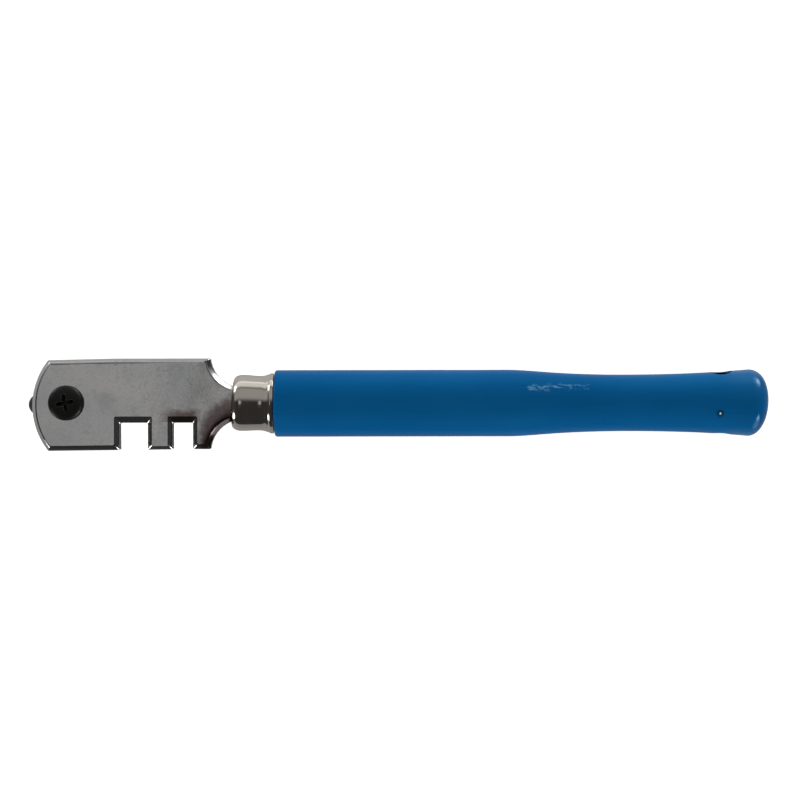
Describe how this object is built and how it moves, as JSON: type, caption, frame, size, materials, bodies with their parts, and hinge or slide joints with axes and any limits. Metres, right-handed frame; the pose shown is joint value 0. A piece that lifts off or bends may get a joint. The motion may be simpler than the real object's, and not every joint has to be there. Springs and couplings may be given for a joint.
{
  "type": "glass cutter",
  "caption": "Hand glass cutter: slotted metal head with breaking notches, a screw-clamped turret of small cutting wheels, a bright ferrule and a turned, painted wooden handle.",
  "frame": {"origin": "under the middle of the tool's length and width, on the surface that the handle lies on", "axes": "+X along the tool from the front wheel to the knob; +Y towards the straight edge of the head, the notches being on -Y; +Z out of the side of the head that carries the screw head"},
  "size_m": [0.13, 0.0161, 0.0118],
  "materials": {
    "plated_casting": "satin",
    "ferrule_nickel": "polished",
    "handle_paint": "gloss",
    "turret_steel": "satin",
    "pin_steel": "satin",
    "wheel_steel": "polished",
    "black_screw": "satin"
  },
  "bodies": {
    "tool": {"head": "plated_casting", "ferrule": "ferrule_nickel", "handle": "handle_paint"},
    "turret": {"turret": "turret_steel", "wheel_pin_1": "pin_steel", "wheel_pin_2": "pin_steel", "wheel_pin_3": "pin_steel", "wheel_pin_4": "pin_steel", "wheel_pin_5": "pin_steel", "wheel_pin_6": "pin_steel"},
    "wheel_1": {"cutting_wheel_1": "wheel_steel"},
    "wheel_2": {"cutting_wheel_2": "wheel_steel"},
    "wheel_3": {"cutting_wheel_3": "wheel_steel"},
    "wheel_4": {"cutting_wheel_4": "wheel_steel"},
    "wheel_5": {"cutting_wheel_5": "wheel_steel"},
    "wheel_6": {"cutting_wheel_6": "wheel_steel"},
    "screw": {"turret_screw": "black_screw"}
  },
  "joints": [
    {"name": "turret_index", "type": "hinge", "parent": "tool", "child": "turret", "pos_m": [-0.05798, 0.00015, 0.00588], "axis": [0, 0, 1], "continuous": true},
    {"name": "wheel_spin_1", "type": "hinge", "parent": "turret", "child": "wheel_1", "pos_m": [-0.06315, -0.00011, 0.00588], "axis": [0, 0, 1], "continuous": true},
    {"name": "wheel_spin_2", "type": "hinge", "parent": "turret", "child": "wheel_2", "pos_m": [-0.06034, -0.00446, 0.00588], "axis": [0, 0, 1], "continuous": true},
    {"name": "wheel_spin_3", "type": "hinge", "parent": "turret", "child": "wheel_3", "pos_m": [-0.05516, -0.0042, 0.00588], "axis": [0, 0, 1], "continuous": true},
    {"name": "wheel_spin_4", "type": "hinge", "parent": "turret", "child": "wheel_4", "pos_m": [-0.0528, 0.00041, 0.00588], "axis": [0, 0, 1], "continuous": true},
    {"name": "wheel_spin_5", "type": "hinge", "parent": "turret", "child": "wheel_5", "pos_m": [-0.05562, 0.00476, 0.00588], "axis": [0, 0, 1], "continuous": true},
    {"name": "wheel_spin_6", "type": "hinge", "parent": "turret", "child": "wheel_6", "pos_m": [-0.06079, 0.0045, 0.00588], "axis": [0, 0, 1], "continuous": true},
    {"name": "screw_turn", "type": "hinge", "parent": "tool", "child": "screw", "pos_m": [-0.05798, 0.00015, 0.00588], "axis": [0, 0, 1], "range_deg": [0, 360]}
  ]
}
